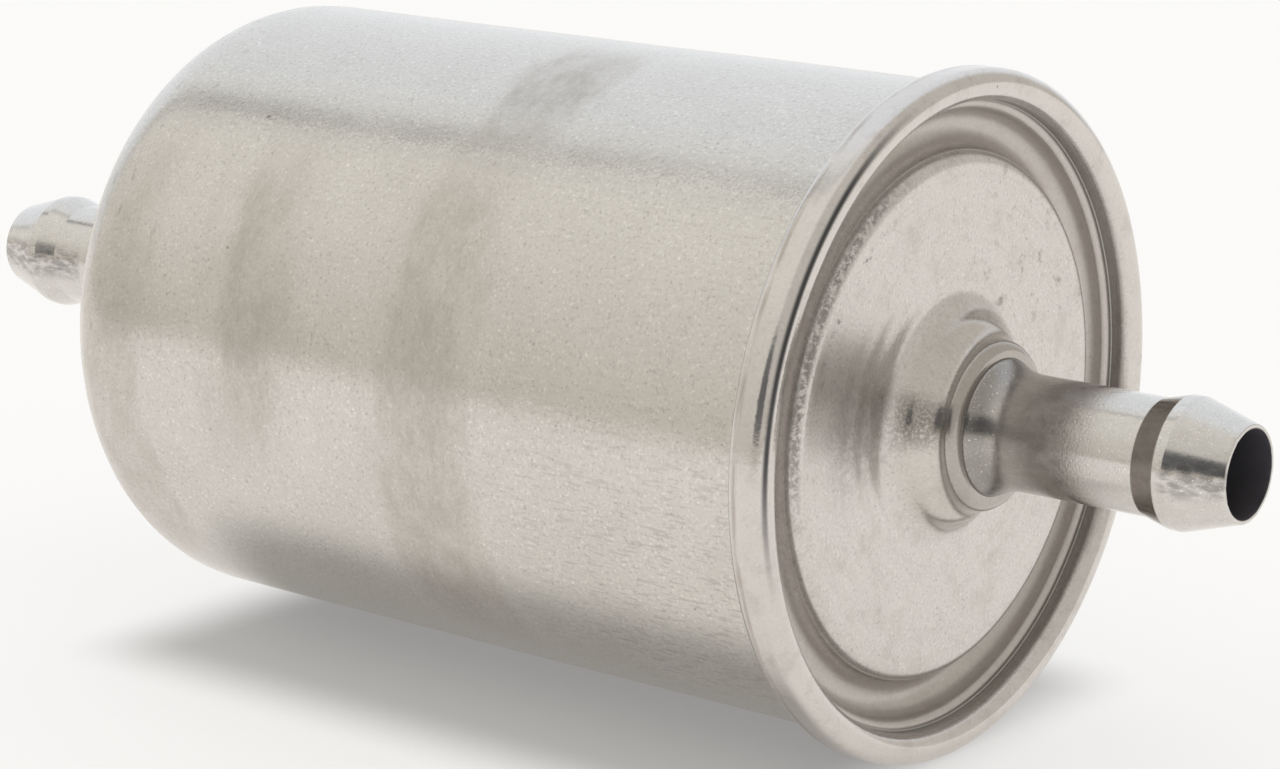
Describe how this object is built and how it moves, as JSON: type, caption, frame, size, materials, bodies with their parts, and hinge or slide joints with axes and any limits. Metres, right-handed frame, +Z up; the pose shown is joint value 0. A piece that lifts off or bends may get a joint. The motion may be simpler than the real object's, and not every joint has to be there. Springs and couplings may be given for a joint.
{
  "type": "in-line fuel filter",
  "caption": "Cylindrical metal in-line fuel filter with a rolled end seam, a barbed hose nipple at each end and a sprung pleated-paper element sealed inside.",
  "frame": {"origin": "on the filter's axis, within the canister's straight wall, 40.9 mm in front of its flat rear face", "axes": "+X along the axis towards the seamed cover and the inlet nipple, +Z up with the filter lying on its side, +Y to the left of +X"},
  "size_m": [0.1376, 0.0582, 0.0582],
  "materials": {
    "can_steel": "tin-plated deep-drawn steel, satin, fine draw marks and faint brown handling stains",
    "cover_steel": "tin-plated pressed steel, satin, pressing rings and smudges",
    "sealing_compound": "dried sealing compound, matt dark grey",
    "nipple_steel": "turned and plated steel, semi-bright with fine turning marks",
    "braze_metal": "copper-alloy braze fillet, slightly oxidised",
    "inner_steel": "tin-plated pressed steel, semi-bright",
    "spring_steel": "drawn spring wire, dark and smooth",
    "adhesive": "cured amber potting adhesive, slightly glossy",
    "filter_paper": "resin-treated pleated filter paper, fine fibrous grain",
    "gauze_wire": "fine woven wire gauze",
    "grommet_rubber": "moulded fuel-resistant rubber, matt black"
  },
  "bodies": {
    "housing": {"canister": "can_steel", "end_cover": "cover_steel", "seam_compound": "sealing_compound", "inlet_nipple": "nipple_steel", "outlet_nipple": "nipple_steel", "inlet_braze_ring": "braze_metal", "outlet_braze_ring": "braze_metal", "inlet_baffle": "inner_steel", "element_spring": "spring_steel"},
    "element": {"spring_cup": "inner_steel", "closed_end_disc": "inner_steel", "open_end_disc": "inner_steel", "closed_end_adhesive": "adhesive", "open_end_adhesive": "adhesive", "pleated_paper": "filter_paper", "pleat_seam_clip": "inner_steel", "pleat_spacer_beads": "adhesive", "support_gauze": "gauze_wire", "centre_tube": "inner_steel", "outlet_grommet": "grommet_rubber"}
  },
  "joints": [
    {"name": "element_slide", "type": "slide", "parent": "housing", "child": "element", "axis": [1, 0, 0], "range_m": [0, 0.003], "stiffness_N_per_m": 425, "springref_m": -0.004, "deforming": ["element_spring"]}
  ]
}
